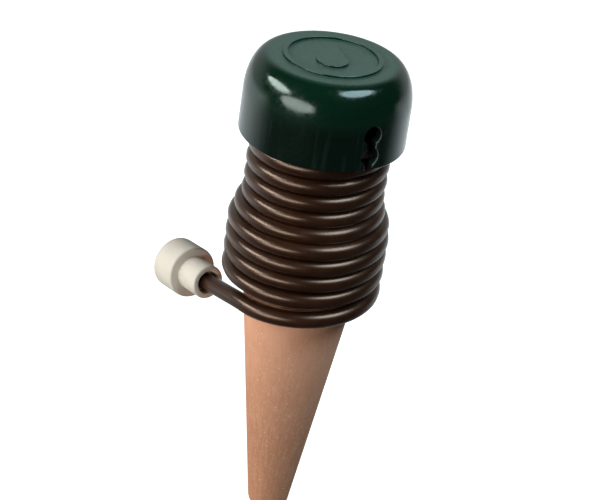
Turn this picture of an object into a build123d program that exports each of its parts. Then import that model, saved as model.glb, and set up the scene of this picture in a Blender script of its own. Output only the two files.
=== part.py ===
from build123d import *
import math
import os

# Self watering spike: a porous cone pushed into the soil, a screw cap, and a suction hose wound round the neck.
# All sizes are in millimetres and degrees. The tip of the cone is the origin, and +Z runs up to the cap.
# Azimuths are counted from +X towards +Y; the side that faces the viewer is at -90.

# Porous cone
cone_length = 83.4
mouth_diameter = 29.2
mouth_land = 7.5
tip_radius = 5.2
cone_wall = 3.0
mouth_wall = 2.55
mouth_edge_round = 0.8
socket_depth = 9.0

# Neck collar, cemented into the mouth of the cone
neck_diameter = 24.0
neck_wall = 2.9
neck_height = 34.0
neck_flange_overhang = 0.9
neck_flange_thickness = 1.5
cement_gap = 0.05

# Sealing ring between the neck and the plug
seal_thickness = 1.5
seal_edge_margin = 0.5
seal_bore_gap = 0.3

# Screw plug, bonded under the ceiling of the cap
plug_flange_thickness = 4.0
plug_flange_overhang = 1.5
plug_wall = 3.0
plug_roof = 1.4
thread_clearance = 0.1
thread_lead = 4.0
thread_turns = 2.25
thread_lead_in = 0.5

# Cap
cap_height = 18.7
cap_draft = 0.6
cap_top_wall = 2.2
skirt_wall = 2.0
skirt_clearance = 0.93
shoulder_reach = 4.8
shoulder_drop = 9.4
rim_round = 0.45

# Keyhole notch that grips the hose where it leaves the skirt in use
notch_azimuth = -54.0
notch_lobe_diameter = 4.3
notch_lower_lobe = 3.3
notch_upper_lobe = 8.3
notch_mouth_width = 1.85
notch_waist_width = 2.3
notch_edge_break = 0.3

# Hose
hose_diameter = 3.65
hose_bore = 2.15
turn_gap = 0.42
winding_clearance = 0.42
full_turns = 10
climb_top = 9.1
climb_bottom = -1.3
nestle_rise = 0.15
lead_azimuth = -141.0
lead_droop = 9.0
lead_drop = 1.5
lead_drop_turns = 0.25
lead_length = 9.65

# Hose coupling on the plug: a block in the skirt with a barb that the hose is pushed over
coupling_azimuth = -10.0
coupling_height = 3.2
coupling_rise = 0.4
coupling_length = 5.0
coupling_floor = 0.3
coupling_wall_gap = 0.4
coupling_arm = 2.0
barb_clearance = 0.1
barb_length = 3.0
water_way = 1.2

# Intake weight on the free end of the hose
weight_diameter = 12.6
weight_length = 7.9
weight_nose_diameter = 8.2
weight_nose_length = 7.0
weight_socket_depth = 5.5
weight_socket_clearance = 0.32
weight_inlet = 2.2
weight_edge_round = 0.7
weight_inlet_flare = 0.6

# Heights of the stack from the tip up
mouth_z = cone_length
neck_top_z = mouth_z + neck_height
flange_z = neck_top_z + seal_thickness
ceiling_z = flange_z + plug_flange_thickness
cap_top_z = ceiling_z + cap_top_wall
rim_z = cap_top_z - cap_height

# Radii that follow from the pieces that fit inside each other
hose_radius = hose_diameter / 2
mouth_radius = mouth_diameter / 2
neck_radius = neck_diameter / 2
neck_bore_radius = neck_radius - neck_wall
stem_radius = neck_bore_radius - thread_clearance
upper_turn_radius = neck_radius + winding_clearance + hose_radius
lower_turn_radius = mouth_radius + winding_clearance + hose_radius
skirt_bore_radius = upper_turn_radius + hose_radius + skirt_clearance
rim_radius = skirt_bore_radius + skirt_wall
draft_slope = math.tan(math.radians(cap_draft))


def write(node, solid):
    """Name a piece and write it to its own file."""
    solid.label = node
    export_step(solid, f"parts/{node}.step")
    print(f"{node}: {solid.volume:.1f} mm3")


def turned(profile):
    """A piece turned about the axis, from half of its section in the XZ plane."""
    return revolve(profile, Axis.Z)


def rod(start, end, diameter):
    """A round rod between two points, to add as a pin or to cut as a hole."""
    span = end - start
    return Solid.make_cylinder(diameter / 2, span.length, Plane(start, z_dir=span))


def at_azimuth(angle, radius, height):
    """A point on a circle round the axis."""
    turn = math.radians(angle)
    return Vector(radius * math.cos(turn), radius * math.sin(turn), height)


# Porous cone: a rounded tip, a straight taper that is tangent to it, and a short land at the mouth
def taper_contact():
    """The point where the taper, drawn from the foot of the land, touches the rounded tip."""
    foot = Vector(mouth_radius, 0, mouth_z - mouth_land)
    reach = foot - Vector(0, 0, tip_radius)
    swing = math.atan2(reach.Z, reach.X) - math.acos(tip_radius / reach.length)
    return tip_radius * math.cos(swing), tip_radius * (1 + math.sin(swing)), swing


def cone_section(inset):
    """Half section of the cone, with its walls drawn in by the inset."""
    touch_r, touch_z, swing = taper_contact()
    ball = tip_radius - inset
    low = Vector(0, 0, inset)
    touch = Vector(touch_r - inset * math.cos(swing), 0, touch_z - inset * math.sin(swing))
    middle_angle = (swing - math.pi / 2) / 2
    middle = Vector(ball * math.cos(middle_angle), 0, tip_radius + ball * math.sin(middle_angle))
    foot_drop = inset * math.tan(-swing / 2)
    foot = Vector(mouth_radius - inset, 0, mouth_z - mouth_land + foot_drop)
    edge = [
        Edge.make_three_point_arc(low, middle, touch),
        Edge.make_line(touch, foot),
        Edge.make_line(foot, Vector(mouth_radius - inset, 0, mouth_z)),
        Edge.make_line(Vector(mouth_radius - inset, 0, mouth_z), Vector(0, 0, mouth_z)),
        Edge.make_line(Vector(0, 0, mouth_z), low),
    ]
    return make_face(edge)


socket_radius = mouth_radius - mouth_wall
spigot_radius = socket_radius - cement_gap
ceramic_cone = turned(cone_section(0))
lip = ceramic_cone.edges().filter_by(GeomType.CIRCLE).sort_by(Axis.Z)[-1]
ceramic_cone = fillet(lip, min(mouth_edge_round, mouth_wall / 2))
ceramic_cone -= turned(cone_section(cone_wall))
ceramic_cone -= Pos(0, 0, mouth_z) * Cylinder(
    socket_radius, socket_depth, align=(Align.CENTER, Align.CENTER, Align.MAX),
)

# Neck collar: a tube with a spigot in the mouth of the cone and a flange that sits on its lip
neck_flange_radius = spigot_radius + neck_flange_overhang
neck_section = [
    (neck_bore_radius, mouth_z - socket_depth),
    (spigot_radius, mouth_z - socket_depth),
    (spigot_radius, mouth_z),
    (neck_flange_radius, mouth_z),
    (neck_flange_radius, mouth_z + neck_flange_thickness),
    (neck_radius, mouth_z + neck_flange_thickness),
    (neck_radius, neck_top_z),
    (neck_bore_radius, neck_top_z),
]
neck_collar = turned(make_face(Plane.XZ * Polyline(*neck_section, close=True)))

# Sealing ring: flat rubber on the rim of the neck, round the stem of the plug
seal_section = Plane.XZ * Pos(0, neck_top_z) * make_face(Polyline(
    (stem_radius + seal_bore_gap, 0),
    (neck_radius - seal_edge_margin, 0),
    (neck_radius - seal_edge_margin, seal_thickness),
    (stem_radius + seal_bore_gap, seal_thickness),
    close=True,
))
sealing_ring = turned(seal_section)


# Cap: a moulded shell with a flat top, a drafted skirt and an elliptical shoulder between them
def cap_section(radius, top, reach, drop):
    """Half section of a drafted cup that is closed at the top, with a shoulder of this reach and drop."""
    spring_z = top - drop
    spring_radius = radius - (spring_z - rim_z) * draft_slope
    flat_radius = spring_radius - reach
    outline = Polyline((flat_radius, top), (0, top), (0, rim_z), (radius, rim_z), (spring_radius, spring_z))
    outline += EllipticalCenterArc((flat_radius, spring_z), reach, drop, arc_size=90)
    return make_face(Plane.XZ * outline)


inner_reach = shoulder_reach - skirt_wall
inner_drop = shoulder_drop - cap_top_wall
cap = turned(cap_section(rim_radius, cap_top_z, shoulder_reach, shoulder_drop))
rim_edge = cap.edges().filter_by(GeomType.CIRCLE).sort_by(Axis.Z)[0]
cap = fillet(rim_edge, min(rim_round, skirt_wall / 3))
cap -= turned(cap_section(skirt_bore_radius, ceiling_z, inner_reach, inner_drop))


def notch_outline(margin):
    """Two lobes, a waist between them and a mouth at the rim, widened all round by the margin."""
    lobe = Circle(notch_lobe_diameter / 2 + margin)
    waist = Rectangle(
        notch_waist_width + 2 * margin, notch_upper_lobe - notch_lower_lobe, align=(Align.CENTER, Align.MIN),
    )
    outline = Pos(0, notch_lower_lobe) * (lobe + waist)
    outline += Pos(0, notch_upper_lobe) * lobe
    return outline + Rectangle(notch_mouth_width + 2 * margin, 2 * notch_lower_lobe)


def notch_plane(radius):
    """The plane of the notch at this distance from the axis, square to its azimuth."""
    outwards = at_azimuth(notch_azimuth, 1, 0)
    sideways = at_azimuth(notch_azimuth + 90, 1, 0)
    return Plane(outwards * radius + Vector(0, 0, rim_z), x_dir=sideways, z_dir=outwards)


# The notch goes straight through the skirt, and its outer edge is broken all round by a flared cut
lobe_side_depth = math.sqrt(rim_radius ** 2 - (notch_lobe_diameter / 2) ** 2)
break_start = lobe_side_depth - notch_edge_break
break_reach = rim_radius - break_start + notch_edge_break
notch_flare = loft([
    notch_plane(break_start) * notch_outline(0),
    notch_plane(break_start + break_reach) * notch_outline(break_reach),
])
cap -= extrude(notch_plane(0) * notch_outline(0), rim_radius + skirt_wall)
cap -= notch_flare

# Screw plug: a flange under the ceiling of the cap, a hollow stem in the neck and the hose coupling
thread_travel = thread_lead * thread_turns
stem_length = thread_travel + thread_lead_in + seal_thickness
stem_bore_radius = stem_radius - plug_wall
plug_flange_radius = neck_radius + plug_flange_overhang
plug_section = [
    (0, ceiling_z),
    (plug_flange_radius, ceiling_z),
    (plug_flange_radius, flange_z),
    (stem_radius, flange_z),
    (stem_radius, flange_z - stem_length),
    (stem_bore_radius, flange_z - stem_length),
    (stem_bore_radius, ceiling_z - plug_roof),
    (0, ceiling_z - plug_roof),
]
screw_plug = turned(make_face(Plane.XZ * Polyline(*plug_section, close=True)))

# The coupling is drawn at azimuth 0 and turned into place: the hose runs along -Y at the turn radius
hose_start_z = rim_z + coupling_height
coupling_inner = neck_radius + winding_clearance
coupling_outer = skirt_bore_radius - coupling_wall_gap - (flange_z - rim_z) * draft_slope
arm_top_z = flange_z + coupling_arm
inner_spring_z = ceiling_z - inner_drop
inner_flat_radius = skirt_bore_radius - (inner_spring_z - rim_z) * draft_slope - inner_reach
arm_rise = (arm_top_z - inner_spring_z) / inner_drop
arm_outer = inner_flat_radius + inner_reach * math.sqrt(1 - arm_rise ** 2)
coupling_section = [
    (coupling_inner, hose_start_z - hose_radius - coupling_floor),
    (coupling_outer, hose_start_z - hose_radius - coupling_floor),
    (coupling_outer, inner_spring_z),
    (arm_outer - coupling_wall_gap, arm_top_z),
    (stem_radius, arm_top_z),
    (stem_radius, flange_z),
    (coupling_inner, flange_z),
]
coupling_ring = turned(make_face(Plane.XZ * Polyline(*coupling_section, close=True)))
hose_seat_y = hose_diameter
coupling_slab = Pos(0, hose_seat_y, rim_z) * Box(
    2 * rim_radius, coupling_length, 2 * cap_height, align=(Align.MIN, Align.MIN, Align.CENTER),
)
hose_seat = Vector(upper_turn_radius, hose_seat_y, hose_start_z)
barb_tip = hose_seat - Vector(0, barb_length, 0)
coupling = (coupling_ring & coupling_slab) + rod(hose_seat, barb_tip, hose_bore - 2 * barb_clearance)
way_elbow = hose_seat + Vector(0, coupling_length / 3, 0)
way_top = Vector(coupling_inner + water_way, way_elbow.Y, flange_z + coupling_arm / 2)
way_end = Vector(0, 0, way_top.Z)
turn_to_coupling = Rot(0, 0, coupling_azimuth)
screw_plug += turn_to_coupling * coupling
for start, end in ((barb_tip, way_elbow), (way_elbow, way_top), (way_top, way_end)):
    screw_plug -= turn_to_coupling * rod(start, end, water_way)

# Hose winding: one tube in a right-handed helix, tight on the neck, wider round the mouth of the cone
pitch = hose_diameter + turn_gap
sweep_angle = 360 * full_turns + (coupling_azimuth - lead_azimuth)
step_count = math.ceil(sweep_angle / 90)


def winding_point(turned_by):
    """Middle of the hose after it has turned by this many degrees from the coupling."""
    first_turn = max(360 - turned_by, 0) / 360
    last_turns = max(turned_by - sweep_angle + 360 * lead_drop_turns, 0) / (360 * lead_drop_turns)
    steady_z = hose_start_z - coupling_rise - pitch * turned_by / 360
    climb = (mouth_z + climb_top - steady_z) / (climb_top - climb_bottom)
    climb = min(max(climb, 0), 1)
    ease = climb * climb * (3 - 2 * climb)
    radius = upper_turn_radius + (lower_turn_radius - upper_turn_radius) * ease
    z = steady_z + coupling_rise * first_turn ** 2 + nestle_rise * ease - lead_drop * last_turns ** 2
    return at_azimuth(coupling_azimuth - turned_by, radius, z)


def winding_tangent(turned_by):
    """Direction of the hose there: level where it leaves the coupling, drooping where the lead begins."""
    if turned_by in (0, sweep_angle):
        droop = math.radians(lead_droop if turned_by else 0)
        level = at_azimuth(coupling_azimuth - turned_by - 90, math.cos(droop), 0)
        return level - Vector(0, 0, math.sin(droop))
    nudge = 0.01
    return (winding_point(turned_by + nudge) - winding_point(turned_by - nudge)).normalized()


def biarc(start, start_way, end, end_way):
    """Two arcs that meet in a tangent and join two points in the given directions."""
    chord = end - start
    ways = start_way + end_way
    spread = 2 * (1 - start_way.dot(end_way))
    along = chord.dot(ways)
    handle = (math.sqrt(along ** 2 + spread * chord.dot(chord)) - along) / spread
    joint = (start + start_way * handle + end - end_way * handle) * 0.5
    joint_way = (end - end_way * handle - start - start_way * handle).normalized()
    return [Edge.make_tangent_arc(start, start_way, joint), Edge.make_tangent_arc(joint, joint_way, end)]


stops = [sweep_angle * step / step_count for step in range(step_count + 1)]
points = [winding_point(stop) for stop in stops]
ways = [winding_tangent(stop) for stop in stops]
winding_edges = [Edge.make_line(points[0] - ways[0] * hose_diameter, points[0])]
for step in range(step_count):
    winding_edges += biarc(points[step], ways[step], points[step + 1], ways[step + 1])
lead_start = points[-1] + ways[-1] * hose_diameter
winding_edges.append(Edge.make_line(points[-1], lead_start))
winding_path = Wire(winding_edges)
hose_section = Circle(hose_radius) - Circle(hose_bore / 2)
hose_winding = sweep(Plane(winding_path @ 0, z_dir=winding_path % 0) * hose_section, path=winding_path)

# The least gap between turns is measured on points along the middle of the hose
samples_per_edge = 12
trail = [edge @ (k / samples_per_edge) for edge in winding_edges for k in range(samples_per_edge)]
skip = 3 * samples_per_edge
nearest = min(
    (trail[i] - trail[j]).length
    for i in range(len(trail))
    for j in range(i + skip, min(i + 6 * skip, len(trail)))
)
hose_area = math.pi * (hose_radius ** 2 - (hose_bore / 2) ** 2)
print(f"winding: length {winding_path.length:.1f}, least gap {nearest - hose_diameter:.3f}")
print(f"winding volume over section times length: {hose_winding.volume / hose_area / winding_path.length:.5f}")

# Hose lead and intake weight, along one line from the end of the winding
lead_line = Plane(lead_start, z_dir=ways[-1])
hose_lead = extrude(lead_line * hose_section, lead_length + weight_socket_depth)

weight_base = lead_line * Pos(0, 0, lead_length)
weight_total = weight_nose_length + weight_length
intake_weight = weight_base * Cylinder(
    weight_nose_diameter / 2, weight_total, align=(Align.CENTER, Align.CENTER, Align.MIN),
)
intake_weight += weight_base * Pos(0, 0, weight_nose_length) * Cylinder(
    weight_diameter / 2, weight_length, align=(Align.CENTER, Align.CENTER, Align.MIN),
)
weight_rims = intake_weight.edges().filter_by(GeomType.CIRCLE)
weight_rims = weight_rims.filter_by(lambda edge: edge.radius > (weight_nose_diameter + weight_diameter) / 4) \
    + weight_rims.sort_by(Axis(lead_start, ways[-1]))[:1]
intake_weight = fillet(weight_rims, weight_edge_round)
weight_face = lead_start + ways[-1] * lead_length
weight_step = weight_face + ways[-1] * weight_socket_depth
weight_end = weight_face + ways[-1] * weight_total
intake_weight -= rod(weight_face, weight_step, hose_diameter + 2 * weight_socket_clearance)
intake_weight -= rod(weight_step, weight_end, weight_inlet)
inlet_edge = intake_weight.edges().filter_by(GeomType.CIRCLE).sort_by(Axis(lead_start, ways[-1]))[-2:].sort_by(
    lambda edge: edge.radius)[0]
intake_weight = chamfer(inlet_edge, weight_inlet_flare)

os.makedirs("parts", exist_ok=True)
write("ceramic_cone", ceramic_cone)
write("neck_collar", neck_collar)
write("sealing_ring", sealing_ring)
write("cap", cap)
write("screw_plug", screw_plug)
write("hose_winding", hose_winding)
write("hose_lead", hose_lead)
write("intake_weight", intake_weight)
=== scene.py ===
import math

import bmesh
import bpy
from mathutils import Matrix, Vector


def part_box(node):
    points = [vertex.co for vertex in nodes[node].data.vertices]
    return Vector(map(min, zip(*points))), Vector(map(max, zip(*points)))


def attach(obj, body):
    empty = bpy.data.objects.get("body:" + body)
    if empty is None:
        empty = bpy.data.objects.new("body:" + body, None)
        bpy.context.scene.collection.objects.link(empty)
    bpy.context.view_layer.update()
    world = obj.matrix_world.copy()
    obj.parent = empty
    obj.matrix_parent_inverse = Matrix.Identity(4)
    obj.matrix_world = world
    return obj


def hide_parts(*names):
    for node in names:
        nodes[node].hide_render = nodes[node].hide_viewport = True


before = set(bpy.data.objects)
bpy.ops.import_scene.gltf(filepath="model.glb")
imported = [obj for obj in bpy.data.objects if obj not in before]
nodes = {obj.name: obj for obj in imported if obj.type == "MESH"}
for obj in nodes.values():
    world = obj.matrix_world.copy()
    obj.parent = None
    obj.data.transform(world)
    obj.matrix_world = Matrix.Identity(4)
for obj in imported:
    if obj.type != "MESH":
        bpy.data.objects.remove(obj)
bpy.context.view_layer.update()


# Viewpoint
# A long lens looks down on the cap from in front. The camera is rolled, so that the spike leans to the
# right in the picture, and aimed so that the cap stands right of the middle and the tip leaves the
# picture at the bottom.
picture_width = 600
picture_height = 500
lens_in_pixels = 1700
rim_in_picture = (321.85, 133.45)
camera_distance = 0.383
camera_elevation = math.radians(25.4)
camera_roll = math.radians(-8.51)
sensor_width = 36

rim_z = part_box("cap")[0].z
rim_centre = Vector((0, 0, rim_z))
towards_camera = Vector((0, -math.cos(camera_elevation), math.sin(camera_elevation)))
right = Vector((1, 0, 0))
level_view = Matrix((right, towards_camera.cross(right), towards_camera))
aim_right = (rim_in_picture[0] - picture_width / 2) / lens_in_pixels
aim_up = (picture_height / 2 - rim_in_picture[1]) / lens_in_pixels
aim = Vector((0, 0, -1)).rotation_difference(Vector((aim_right, aim_up, -1)))
camera_turn = aim.to_matrix() @ Matrix.Rotation(camera_roll, 3, "Z") @ level_view
lens = bpy.data.cameras.new("viewpoint")
lens.sensor_width = sensor_width
lens.lens = sensor_width * lens_in_pixels / picture_width
camera = bpy.data.objects.new("viewpoint", lens)
camera_place = Matrix.Translation(rim_centre + towards_camera * camera_distance)
camera.matrix_world = camera_place @ camera_turn.transposed().to_4x4()
bpy.context.scene.collection.objects.link(camera)
bpy.context.scene.camera = camera


# Porous cone
# A hollow cone of red clay, pressed in a mould and fired without a glaze, so that water seeps out
# through its wall. Its skin is matt and pitted, with pale grains in the clay and faint drag marks where
# it was drawn from the mould. Towards the tip it is painted darker, as painted shade.
class Pattern:
    """A value that changes over a surface. Arithmetic on it adds Math nodes to its node tree."""

    def __init__(self, shading, output):
        self.shading = shading
        self.output = output

    def maths(self, operation, first, second):
        return self.shading.node("ShaderNodeMath", {"operation": operation}, {0: first, 1: second})

    def __add__(self, other):
        return self.maths("ADD", self, other)

    def __radd__(self, other):
        return self.maths("ADD", other, self)

    def __sub__(self, other):
        return self.maths("SUBTRACT", self, other)

    def __rsub__(self, other):
        return self.maths("SUBTRACT", other, self)

    def __mul__(self, other):
        return self.maths("MULTIPLY", self, other)

    def __rmul__(self, other):
        return self.maths("MULTIPLY", other, self)


class Shading:
    """The node tree of a material or of the world."""

    def __init__(self, owner):
        owner.use_nodes = True
        self.owner = owner
        self.tree = owner.node_tree

    def feed(self, socket, value):
        """Set a socket to a constant, or link a pattern to it."""
        if isinstance(value, Pattern):
            self.tree.links.new(value.output, socket)
        else:
            socket.default_value = value

    def node(self, kind, settings={}, sockets={}, output=0):
        """Add a node, set its settings and then its sockets, and give back one of its outputs."""
        made = self.tree.nodes.new(kind)
        for name, value in settings.items():
            setattr(made, name, value)
        for name, value in sockets.items():
            self.feed(made.inputs[name], value)
        return Pattern(self, made.outputs[output])

    def noise(self, grain, stretch=(1, 1, 1), detail=3, roughness=0.5):
        """Noise with features of about this size in metres, drawn out along each axis by its stretch."""
        place = self.node("ShaderNodeTexCoord", output="Object")
        scale = [1 / (grain * factor) for factor in stretch]
        sockets = {"Vector": place, "Scale": scale}
        place = self.node("ShaderNodeMapping", {"vector_type": "POINT"}, sockets)
        sockets = {"Vector": place, "Scale": 1, "Detail": detail, "Roughness": roughness}
        return self.node("ShaderNodeTexNoise", {}, sockets)

    def along(self, direction, coordinates="Object"):
        """How far the place lies in this direction."""
        place = self.node("ShaderNodeTexCoord", output=coordinates)
        settings = {"operation": "DOT_PRODUCT"}
        return self.node("ShaderNodeVectorMath", settings, {0: place, 1: direction}, "Value")

    def from_axis(self):
        """Distance of the place from the axis of the spike."""
        place = self.node("ShaderNodeTexCoord", output="Object")
        level = self.node("ShaderNodeVectorMath", {"operation": "MULTIPLY"}, {0: place, 1: (1, 1, 0)})
        return self.node("ShaderNodeVectorMath", {"operation": "LENGTH"}, {0: level}, "Value")

    def cells(self, size):
        """Distance from the middle of the nearest of many scattered grains, in cell sizes."""
        place = self.node("ShaderNodeTexCoord", output="Object")
        sockets = {"Vector": place, "Scale": 1 / size}
        return self.node("ShaderNodeTexVoronoi", {}, sockets, output="Distance")

    def fade(self, value, low, high):
        """0 where the value is below low, 1 above high, and smooth between; low may be the larger."""
        sockets = {"Value": value, "From Min": low, "From Max": high}
        return self.node("ShaderNodeMapRange", {"interpolation_type": "SMOOTHSTEP"}, sockets)

    def tint(self, amount, under, over):
        """One colour laid over another by the amount."""
        sockets = {0: amount, 6: under, 7: over}
        return self.node("ShaderNodeMix", {"data_type": "RGBA"}, sockets, output=2)

    def bump(self, height, distance, strength=1.0):
        """A relief of this height in metres."""
        sockets = {"Height": height, "Distance": distance, "Strength": strength}
        return self.node("ShaderNodeBump", {}, sockets, "Normal")

    def surface(self, sockets):
        """Set the material's one shader."""
        shader = self.tree.nodes["Principled BSDF"]
        for name, value in sockets.items():
            self.feed(shader.inputs[name], value)


def finish_for(name):
    return Shading(bpy.data.materials.new(name))


def dress(piece, shading):
    """Give a piece this one material."""
    piece.data.materials.clear()
    piece.data.materials.append(shading.owner)


clay_red = (0.81, 0.405, 0.257, 1)
clay_deep = (0.735, 0.352, 0.212, 1)
clay_pale = (0.83, 0.475, 0.317, 1)
clay_shaded_tip = (0.46, 0.198, 0.101, 1)
grain_white = (0.85, 0.65, 0.52, 1)
pore_brown = (0.34, 0.155, 0.09, 1)
cloud_size = 0.012
drag_width = 0.0007
drag_stretch = (1, 1, 26)
sand_size = 0.0006
grain_spacing = 0.0016
pore_spacing = 0.0012
pore_patch_size = 0.006
tip_shade_start_z = 0.070
tip_shade_full_z = 0.020
clay_relief = 0.0001
up = (0, 0, 1)

clay = finish_for("fired_clay")
clouds = clay.fade(clay.noise(cloud_size), 0.35, 0.65)
drag = clay.fade(clay.noise(drag_width, stretch=drag_stretch), 0.42, 0.68)
sand = clay.noise(sand_size, detail=5, roughness=0.65)
grains = clay.fade(clay.cells(grain_spacing), 0.16, 0.07)
pore_patches = clay.fade(clay.noise(pore_patch_size), 0.45, 0.6)
pores = clay.fade(clay.cells(pore_spacing), 0.13, 0.05) * pore_patches
# Painted shade: the clay is painted darker towards the tip.
tip_shade = clay.fade(clay.along(up), tip_shade_start_z, tip_shade_full_z)
clay_colour = clay.tint(clouds, clay_red, clay_deep)
clay_colour = clay.tint(tip_shade * 0.85, clay_colour, clay_shaded_tip)
clay_colour = clay.tint(drag * 0.18, clay_colour, clay_pale)
clay_colour = clay.tint(clay.fade(sand, 0.45, 0.8) * 0.5, clay_colour, clay_pale)
clay_colour = clay.tint(grains * 0.6, clay_colour, grain_white)
clay_colour = clay.tint(pores * 0.6, clay_colour, pore_brown)
clay.surface({
    "Base Color": clay_colour,
    "Roughness": 0.86 + 0.1 * sand,
    "Normal": clay.bump(sand - pores + 0.2 * drag, clay_relief, 0.6),
})
dress(nodes["ceramic_cone"], clay)


# Neck collar
# A moulded tube of green plastic, cemented into the mouth of the cone.
# The hose is wound round it and hides most of it.
moulded_green = (0.012, 0.055, 0.034, 1)
moulded_green_worn = (0.03, 0.085, 0.058, 1)
flow_size = 0.004
flow_stretch = (1, 1, 6)
moulded_grain = 0.0003
moulded_relief = 0.00002

inner_plastic = finish_for("moulded_green_plastic")
flow = inner_plastic.noise(flow_size, stretch=flow_stretch)
wear = inner_plastic.fade(flow, 0.45, 0.7)
inner_plastic.surface({
    "Base Color": inner_plastic.tint(wear, moulded_green, moulded_green_worn),
    "Roughness": 0.4 + 0.15 * flow,
    "Normal": inner_plastic.bump(inner_plastic.noise(moulded_grain), moulded_relief),
})
dress(nodes["neck_collar"], inner_plastic)


# Sealing ring
# A flat ring of soft black rubber on the rim of the neck.
# It is squeezed by the plug and keeps air out of the spike.
rubber_black = (0.02, 0.02, 0.021, 1)
rubber_bloom = (0.06, 0.06, 0.06, 1)
bloom_size = 0.0015
seal_grain = 0.0004
seal_relief = 0.00003

seal_rubber = finish_for("soft_black_rubber")
bloom = seal_rubber.noise(bloom_size)
seal_rubber.surface({
    "Base Color": seal_rubber.tint(seal_rubber.fade(bloom, 0.5, 0.75), rubber_black, rubber_bloom),
    "Roughness": 0.65 + 0.2 * bloom,
    "Normal": seal_rubber.bump(seal_rubber.noise(seal_grain), seal_relief),
})
dress(nodes["sealing_ring"], seal_rubber)


# Screw plug
# The threaded stopper of the same plastic as the neck, bonded under the ceiling of the cap.
# An arm on it reaches into the skirt and ends in the barb that the hose is pushed over.
dress(nodes["screw_plug"], inner_plastic)


# Cap
# A moulding in dark green plastic, with a flat top, a wide round shoulder and a keyhole notch in its skirt.
# Its skirt and shoulder are polished in the mould. The skirt is painted darker than the shoulder as painted
# shade, with faint paler streaks on it that are partly flow marks and partly painted streaky reflections.
# Its top has a fine matt texture and is painted paler, partly as a faded finish and partly as a painted
# sheen of light from above. One edge of the notch carries a pale painted highlight.
cap_green = (0.0020, 0.0145, 0.0070, 1)
cap_green_shaded_skirt = (0.0009, 0.0056, 0.003, 1)
cap_green_streak_sheen = (0.006, 0.012, 0.0085, 1)
cap_green_faded_sheen = (0.036, 0.08, 0.058, 1)
cap_green_inside = (0.003, 0.009, 0.006, 1)
cap_green_notch_highlight = (0.09, 0.10, 0.095, 1)
cap_gloss = (0.85, 1.0, 0.94, 1)
skirt_radius = 0.019
skirt_slope = math.tan(math.radians(0.6))
shoulder_z = rim_z + 0.0095
faded_sheen_inner_radius = 0.0134
faded_sheen_outer_radius = 0.0158
notch_azimuth = -54
notch_edge = 0.0004
notch_left = 0.0003
notch_right = 0.0032
notch_blur = 0.0005
notch_nearest = 0.010
notch_furthest = 0.012
sign_relief = 0.0005
smudge_size = 0.004
smudge_stretch = (1, 1, 3)
scuff_size = 0.0009
streak_width = 0.0012
streak_stretch = (1, 1, 14)
wave_size = 0.004
ripple_size = 0.0007
matt_grain = 0.0002
cap_relief = 0.000004


def around(azimuth, radius, height):
    """A point on a circle round the axis, with the azimuth in degrees from +X towards +Y."""
    turn = math.radians(azimuth)
    return Vector((radius * math.cos(turn), radius * math.sin(turn), height))


cap_top_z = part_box("cap")[1].z
sign_top_z = cap_top_z + sign_relief
cap_plastic = finish_for("polished_green_plastic")
height = cap_plastic.along(up)
sign_side = cap_plastic.fade(height, cap_top_z + 0.00003, cap_top_z + 0.00008)
sign_side = sign_side * cap_plastic.fade(height, sign_top_z - 0.00003, sign_top_z - 0.0001)
# The top is painted paler: partly a faded matt finish, partly a painted sheen of the light from above.
faded_sheen = cap_plastic.fade(height, cap_top_z - 0.0009, cap_top_z - 0.0002) * (1 - sign_side)
faded_sheen = faded_sheen * cap_plastic.fade(cap_plastic.from_axis(), faded_sheen_outer_radius, faded_sheen_inner_radius)
skirt = cap_plastic.fade(height, shoulder_z + 0.003, shoulder_z - 0.002)
depth = skirt_radius - skirt_slope * (height - rim_z) - cap_plastic.from_axis()
inside = cap_plastic.fade(depth, notch_edge, notch_edge * 1.5)
inside = inside * cap_plastic.fade(height, shoulder_z + 0.002, shoulder_z)
across_notch = cap_plastic.along(around(notch_azimuth + 90, 1, 0))
out_to_notch = cap_plastic.along(around(notch_azimuth, 1, 0))
near_notch = cap_plastic.fade(across_notch, notch_left, notch_left + notch_blur)
near_notch = near_notch * cap_plastic.fade(across_notch, notch_right, notch_right - notch_blur)
near_notch = near_notch * cap_plastic.fade(out_to_notch, notch_nearest, notch_furthest)
near_notch = near_notch * cap_plastic.fade(height, rim_z + 0.0005, rim_z + 0.001)
near_notch = near_notch * cap_plastic.fade(height, shoulder_z + 0.0014, shoulder_z + 0.0012)
# A painted highlight: a pale line along one edge of the notch, where the lamps on the left catch it.
notch_highlight = cap_plastic.fade(depth, 0.00007, 0.00014) * near_notch
notch_highlight = notch_highlight * cap_plastic.fade(depth, notch_edge, notch_edge * 0.8)
smudge = cap_plastic.fade(cap_plastic.noise(smudge_size, stretch=smudge_stretch), 0.35, 0.7)
scuffs = cap_plastic.fade(cap_plastic.noise(scuff_size), 0.36, 0.74)
# Paler upright streaks on the skirt: partly flow marks, partly painted streaky reflections.
streak_sheen = cap_plastic.fade(cap_plastic.noise(streak_width, stretch=streak_stretch), 0.5, 0.68) * skirt
# The skirt is painted darker than the shoulder: painted shade.
cap_colour = cap_plastic.tint(skirt, cap_green, cap_green_shaded_skirt)
cap_colour = cap_plastic.tint(streak_sheen, cap_colour, cap_green_streak_sheen)
cap_colour = cap_plastic.tint(faded_sheen, cap_colour, cap_green_faded_sheen)
cap_colour = cap_plastic.tint(inside, cap_colour, cap_green_inside)
waves = cap_plastic.noise(wave_size, detail=1) * 2.5
ripple = cap_plastic.noise(ripple_size, detail=2)
grain = cap_plastic.noise(matt_grain, detail=1) * faded_sheen
cap_plastic.surface({
    "Base Color": cap_plastic.tint(notch_highlight, cap_colour, cap_green_notch_highlight),
    "Roughness": 0.11 + 0.04 * smudge + 0.1 * scuffs + 0.22 * faded_sheen + 0.3 * inside,
    "Specular Tint": cap_gloss,
    "Normal": cap_plastic.bump(waves + ripple + grain, cap_relief),
})
dress(nodes["cap"], cap_plastic)


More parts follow.
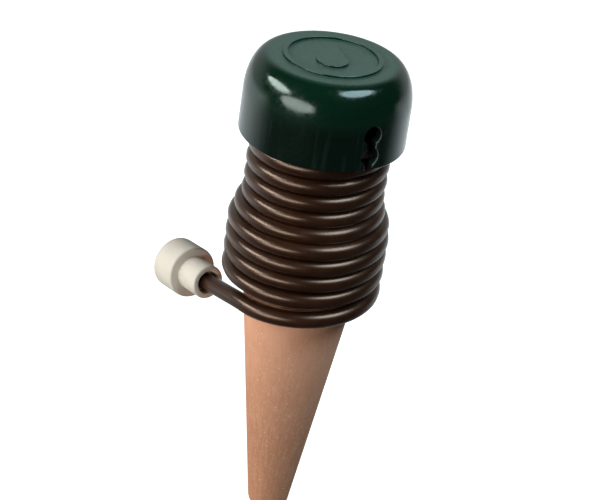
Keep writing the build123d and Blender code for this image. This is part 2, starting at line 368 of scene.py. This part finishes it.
# Raised sign
# A ring with a water drop in it, in the same plastic as the cap.
# It is moulded in one with the top of the cap and stands a little above it.
sign_bed = 0.0001
sign_edge_round = 0.00015
ring_outer_radius = 0.0112
ring_inner_radius = 0.0101
drop_radius = 0.0036
drop_tip_reach = 0.0085
drop_taper = 0.5
sign_corner = math.radians(60)


def raise_sign(mesh, faces):
    """Lift flat faces off the cap's top into a relief with rounded edges."""
    lifted = bmesh.ops.extrude_face_region(mesh, geom=faces)["geom"]
    top_points = [item for item in lifted if isinstance(item, bmesh.types.BMVert)]
    bmesh.ops.translate(mesh, verts=top_points, vec=(0, 0, sign_relief + sign_bed))
    bmesh.ops.recalc_face_normals(mesh, faces=mesh.faces)
    crest = max(point.co.z for point in mesh.verts)
    rims = [edge for edge in mesh.edges if all(point.co.z == crest for point in edge.verts)]
    rims = [edge for edge in rims if edge.calc_face_angle() > sign_corner]
    bmesh.ops.bevel(
        mesh, geom=rims, offset=sign_edge_round, segments=3, profile=0.5, affect="EDGES", material=-1,
    )


sign_mesh = bmesh.new()
ring_side = bmesh.ops.create_circle(sign_mesh, segments=96, radius=ring_inner_radius)["verts"]
ring_edges = list({edge for point in ring_side for edge in point.link_edges})
spread = bmesh.ops.extrude_edge_only(sign_mesh, edges=ring_edges)["geom"]
ring_rim = [item for item in spread if isinstance(item, bmesh.types.BMVert)]
bmesh.ops.scale(sign_mesh, verts=ring_rim, vec=(ring_outer_radius / ring_inner_radius,) * 2 + (1,))
drop = bmesh.ops.create_circle(sign_mesh, segments=64, radius=drop_radius, cap_ends=True)["verts"]
for point in drop:
    climb = max(point.co.y / drop_radius, 0)
    point.co.x *= 1 - climb ** 2 * drop_taper
    point.co.y += (drop_tip_reach - drop_radius) * climb ** 3
bmesh.ops.translate(sign_mesh, verts=drop, vec=(0, (drop_radius - drop_tip_reach) / 2, 0))
bmesh.ops.translate(sign_mesh, verts=sign_mesh.verts, vec=(0, 0, cap_top_z - sign_bed))
raise_sign(sign_mesh, list(sign_mesh.faces))
sign_data = bpy.data.meshes.new("raised_sign")
sign_mesh.to_mesh(sign_data)
sign_mesh.free()
raised_sign = bpy.data.objects.new("raised_sign", sign_data)
bpy.context.scene.collection.objects.link(raised_sign)
dress(raised_sign, cap_plastic)
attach(raised_sign, "cap")


# Intake weight
# A stepped bead of cream stoneware on the free end of the hose, which keeps the end at the bottom of
# the water. It is pressed and fired without a glaze. The hose is glued into a bore with a wide mouth,
# and a smaller inlet goes on from there to the far end.
nose_place = Vector((-0.02136, -0.00039, 0.06359))
weight_droop = math.radians(9)
weight_azimuth = -231
nose_radius = 0.0041
nose_length = 0.0070
bead_radius = 0.0063
bead_length = 0.0079
mouth_radius = 0.0027
mouth_depth = 0.0024
grip_radius = 0.0021
grip_depth = 0.0055
inlet_radius = 0.0011
inlet_flare = 0.0006
weight_edge_round = 0.0005
mouth_edge_round = 0.0003
weight_steps = 72
weight_crease = math.radians(30)
same_place = 0.00001
weight_end = nose_length + bead_length

weight_profile = [
    (inlet_radius, grip_depth),
    (grip_radius, grip_depth),
    (grip_radius, mouth_depth),
    (mouth_radius, mouth_depth),
    (mouth_radius, 0),
    (nose_radius, 0),
    (nose_radius, nose_length),
    (bead_radius, nose_length),
    (bead_radius, weight_end),
    (inlet_radius + inlet_flare, weight_end),
    (inlet_radius, weight_end - inlet_flare),
]
weight_mesh = bmesh.new()
corners = [weight_mesh.verts.new((radius, 0, along)) for radius, along in weight_profile]
outline = [weight_mesh.edges.new((corners[place - 1], corners[place])) for place in range(len(corners))]
bmesh.ops.spin(
    weight_mesh, geom=corners + outline, axis=up, cent=(0, 0, 0), angle=math.tau, steps=weight_steps,
    use_merge=True,
)
bmesh.ops.recalc_face_normals(weight_mesh, faces=weight_mesh.faces)


def round_rim(mesh, radius, along, offset):
    """Round the circular edge of a spun mesh at this radius and height."""
    ring = {point for point in mesh.verts if abs(point.co.z - along) < same_place}
    ring = {point for point in ring if abs(point.co.xy.length - radius) < same_place}
    rim = [edge for edge in mesh.edges if ring.issuperset(edge.verts)]
    bmesh.ops.bevel(mesh, geom=rim, offset=offset, segments=6, profile=0.5, affect="EDGES", material=-1)


round_rim(weight_mesh, mouth_radius, 0, mouth_edge_round)
round_rim(weight_mesh, nose_radius, 0, weight_edge_round)
round_rim(weight_mesh, bead_radius, nose_length, weight_edge_round)
round_rim(weight_mesh, bead_radius, weight_end, weight_edge_round)
for face in weight_mesh.faces:
    face.smooth = True
for edge in weight_mesh.edges:
    edge.smooth = edge.calc_face_angle() < weight_crease
weight_way = around(weight_azimuth, math.cos(weight_droop), -math.sin(weight_droop))
weight_turn = weight_way.to_track_quat("Z", "Y").to_matrix().to_4x4()
weight_place = Matrix.Translation(nose_place) @ weight_turn
bmesh.ops.transform(weight_mesh, matrix=weight_place, verts=weight_mesh.verts)
weight_data = bpy.data.meshes.new("stoneware_weight")
weight_mesh.to_mesh(weight_data)
weight_mesh.free()
stoneware_weight = bpy.data.objects.new("stoneware_weight", weight_data)
bpy.context.scene.collection.objects.link(stoneware_weight)

stoneware = (0.745, 0.672, 0.585, 1)
stoneware_shade = (0.65, 0.56, 0.45, 1)
stoneware_grit = (0.40, 0.32, 0.24, 1)
chalk_size = 0.0006
stain_size = 0.005
grit_spacing = 0.0014
stoneware_relief = 0.00008

weight_clay = finish_for("cream_stoneware")
chalk = weight_clay.noise(chalk_size, detail=5, roughness=0.65)
stain = weight_clay.fade(weight_clay.noise(stain_size), 0.45, 0.7)
grit = weight_clay.fade(weight_clay.cells(grit_spacing), 0.1, 0.04)
weight_colour = weight_clay.tint(stain * 0.5, stoneware, stoneware_shade)
weight_colour = weight_clay.tint(grit * 0.5, weight_colour, stoneware_grit)
weight_clay.surface({
    "Base Color": weight_colour,
    "Roughness": 0.8 + 0.15 * chalk,
    "Normal": weight_clay.bump(chalk - grit, stoneware_relief, 0.6),
})
dress(stoneware_weight, weight_clay)
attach(stoneware_weight, "cap")
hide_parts("intake_weight")


# Suction hose
# About a metre of soft brown hose, extruded, wound ten turns down the neck and then round the wider
# mouth of the cone. Its upper end is pushed over the barb in the skirt, and its free end carries the
# intake weight.
hose_diameter = 0.004
hose_start_z = rim_z + 0.0032
mouth_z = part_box("ceramic_cone")[1].z
turn_pitch = 0.00407
coupling_run = 0.00365
coupling_azimuth = -10
coupling_rise = 0.0004
sweep_angle = 3731
upper_turn_radius = 0.01434
lower_turn_radius = 0.01695
climb_top_z = mouth_z + 0.0091
climb_bottom_z = mouth_z - 0.0013
nestle_rise = 0.0012
loose_drop = 0.0017
loose_angle = 720
peel_drop = 0.0003
peel_angle = 90
lead_droop = math.radians(11)
lead_inset = 0.00025
lead_stretches = (0.004, 0.0105, 0.0188)
steps_per_turn = 24
# A quadratic spline runs inside its control points, so they stand out by this much for each step.
spline_gain = 1 / (0.75 + 0.25 * math.cos(math.tau / steps_per_turn))


def winding_point(turned):
    """Control point of the hose after it has turned by this many degrees from its coupling."""
    first_turn = max(360 - turned, 0) / 360
    loose = max(turned - sweep_angle + loose_angle, 0) / loose_angle
    peel = max(turned - sweep_angle + peel_angle, 0) / peel_angle
    steady_z = hose_start_z - coupling_rise - turn_pitch * turned / 360
    climb = (climb_top_z - steady_z) / (climb_top_z - climb_bottom_z)
    climb = min(max(climb, 0), 1)
    ease = climb * climb * (3 - 2 * climb)
    radius = upper_turn_radius + (lower_turn_radius - upper_turn_radius) * ease
    height = steady_z + coupling_rise * first_turn ** 2 + nestle_rise * ease
    height -= loose_drop * loose ** 2 + peel_drop * peel ** 2
    return around(coupling_azimuth - turned, radius * spline_gain, height)


coupling_way = around(coupling_azimuth - 90, 1, 0)
hose_exit = around(coupling_azimuth, upper_turn_radius, hose_start_z) - coupling_way * coupling_run
lead_way = around(coupling_azimuth - sweep_angle - 90, math.cos(lead_droop), -math.sin(lead_droop))
route = [hose_exit, hose_exit + coupling_way * coupling_run / 2]
steps = round(sweep_angle / 360 * steps_per_turn)
route += [winding_point(sweep_angle * step / steps) for step in range(steps + 1)]
lead_start = route.pop() - around(coupling_azimuth - sweep_angle, lead_inset, 0)
route.append(lead_start)
route += [lead_start + lead_way * stretch for stretch in lead_stretches]

hose_line = bpy.data.curves.new("suction_hose", "CURVE")
hose_line.dimensions = "3D"
hose_line.bevel_depth = hose_diameter / 2
hose_line.bevel_resolution = 5
hose_line.resolution_u = 4
hose_line.use_fill_caps = True
spline = hose_line.splines.new("NURBS")
spline.points.add(len(route) - 1)
for point, place in zip(spline.points, route):
    point.co = (*place, 1)
spline.order_u = 3
spline.use_endpoint_u = True
suction_hose = bpy.data.objects.new("suction_hose", hose_line)
bpy.context.scene.collection.objects.link(suction_hose)

hose_brown = (0.021, 0.0066, 0.0025, 1)
hose_dusty = (0.029, 0.0102, 0.0046, 1)
hose_hidden = (0.016, 0.010, 0.007, 1)
hose_gloss = (1.0, 0.72, 0.56, 1)
dust_size = 0.003
hose_grain = 0.0005
hose_relief = 0.000006

hose_rubber = finish_for("brown_hose_rubber")
dust = hose_rubber.noise(dust_size, detail=5)
hose_colour = hose_rubber.tint(hose_rubber.fade(dust, 0.4, 0.75), hose_brown, hose_dusty)
under_cap = hose_rubber.fade(hose_rubber.along(up), rim_z + 0.0005, rim_z + 0.0015)
hose_rubber.surface({
    "Base Color": hose_rubber.tint(under_cap, hose_colour, hose_hidden),
    "Roughness": 0.26 + 0.08 * dust + 0.4 * under_cap,
    "Specular IOR Level": 0.8,
    "Specular Tint": hose_gloss,
    "Normal": hose_rubber.bump(hose_rubber.noise(hose_grain), hose_relief),
})
dress(suction_hose, hose_rubber)
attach(suction_hose, "cap")
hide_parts("hose_winding", "hose_lead")


# Floor, light and background
# A white sweep of paper. Big soft lamps stand to the left, low in front on the left, and high on the
# right, and the white wall behind shows in the gloss along both sides of the cap.
floor_reach = 3
lit_floor_from = -0.05
lit_floor_to = 0.17
paper_white = (0.8, 0.8, 0.8, 1)
paper_shaded = (0.02, 0.02, 0.02, 1)
paper_seen = (0.7, 0.7, 0.7, 1)
paper_mirrored = (0.42, 0.42, 0.42, 1)
dark = (0, 0, 0, 1)
white = (1, 1, 1, 1)
room_dark = (0.01, 0.01, 0.01, 1)
wall_white = (0.5, 0.52, 0.52, 1)
lamp_distance = 0.9

floor_mesh = bmesh.new()
bmesh.ops.create_grid(floor_mesh, x_segments=1, y_segments=1, size=floor_reach)
floor_data = bpy.data.meshes.new("floor")
floor_mesh.to_mesh(floor_data)
floor_mesh.free()
floor = bpy.data.objects.new("floor", floor_data)
bpy.context.scene.collection.objects.link(floor)

behind = (-0.2, 1.0, 0.0)

sweep_white = finish_for("white_sweep")
seen = sweep_white.node("ShaderNodeLightPath", output="Is Camera Ray")
mirrored = sweep_white.node("ShaderNodeLightPath", output="Is Glossy Ray")
# For every ray but the camera's, the paper is painted dark in front and white behind, as painted shade, and
# behind it glows for glossy rays only, as a painted reflection.
lit_floor = sweep_white.fade(sweep_white.along(behind), lit_floor_from, lit_floor_to)
floor_bounce = sweep_white.tint(lit_floor, paper_shaded, paper_white)
floor_glow = sweep_white.tint(mirrored * lit_floor, dark, paper_mirrored)
sweep_white.surface({
    "Base Color": sweep_white.tint(seen, floor_bounce, paper_white),
    "Roughness": 0.9,
    "Emission Color": sweep_white.tint(seen, floor_glow, paper_seen),
    "Emission Strength": 1.0,
})
dress(floor, sweep_white)


def softbox(name, azimuth, elevation, width, height, power, colour):
    """A soft lamp that points at the cap; its azimuth is counted from the viewer to the right."""
    turn = math.radians(azimuth)
    rise = math.radians(elevation)
    level = math.cos(rise)
    way = Vector((math.sin(turn) * level, -math.cos(turn) * level, math.sin(rise)))
    lamp = bpy.data.lights.new(name, "AREA")
    lamp.shape = "ELLIPSE"
    lamp.size = width
    lamp.size_y = height
    lamp.energy = power
    lamp.color = colour
    holder = bpy.data.objects.new(name, lamp)
    holder.location = rim_centre + way * lamp_distance
    holder.rotation_mode = "QUATERNION"
    holder.rotation_quaternion = (-way).to_track_quat("-Z", "Y")
    bpy.context.scene.collection.objects.link(holder)


softbox(
    "left_lamp", azimuth=-77, elevation=23, width=0.70, height=0.24, power=5.4, colour=(0.95, 1.0, 0.98),
)
softbox(
    "low_left_lamp", azimuth=-38, elevation=7, width=0.82, height=0.32, power=4.6, colour=(1.0, 1.0, 0.96),
)
softbox(
    "high_right_lamp", azimuth=61, elevation=56, width=0.68, height=0.44, power=7.6, colour=(0.72, 0.90, 1.0),
)

studio = Shading(bpy.data.worlds.new("studio"))
bpy.context.scene.world = studio.owner
wall = studio.fade(studio.along((-0.2, 1.0, -0.6), "Generated"), 0.1, 0.6)
room = studio.tint(wall, room_dark, wall_white)
seen = studio.node("ShaderNodeLightPath", output="Is Camera Ray")
background = studio.tree.nodes["Background"]
studio.feed(background.inputs["Color"], studio.tint(seen, room, white))

bpy.context.scene.view_settings.view_transform = "Standard"
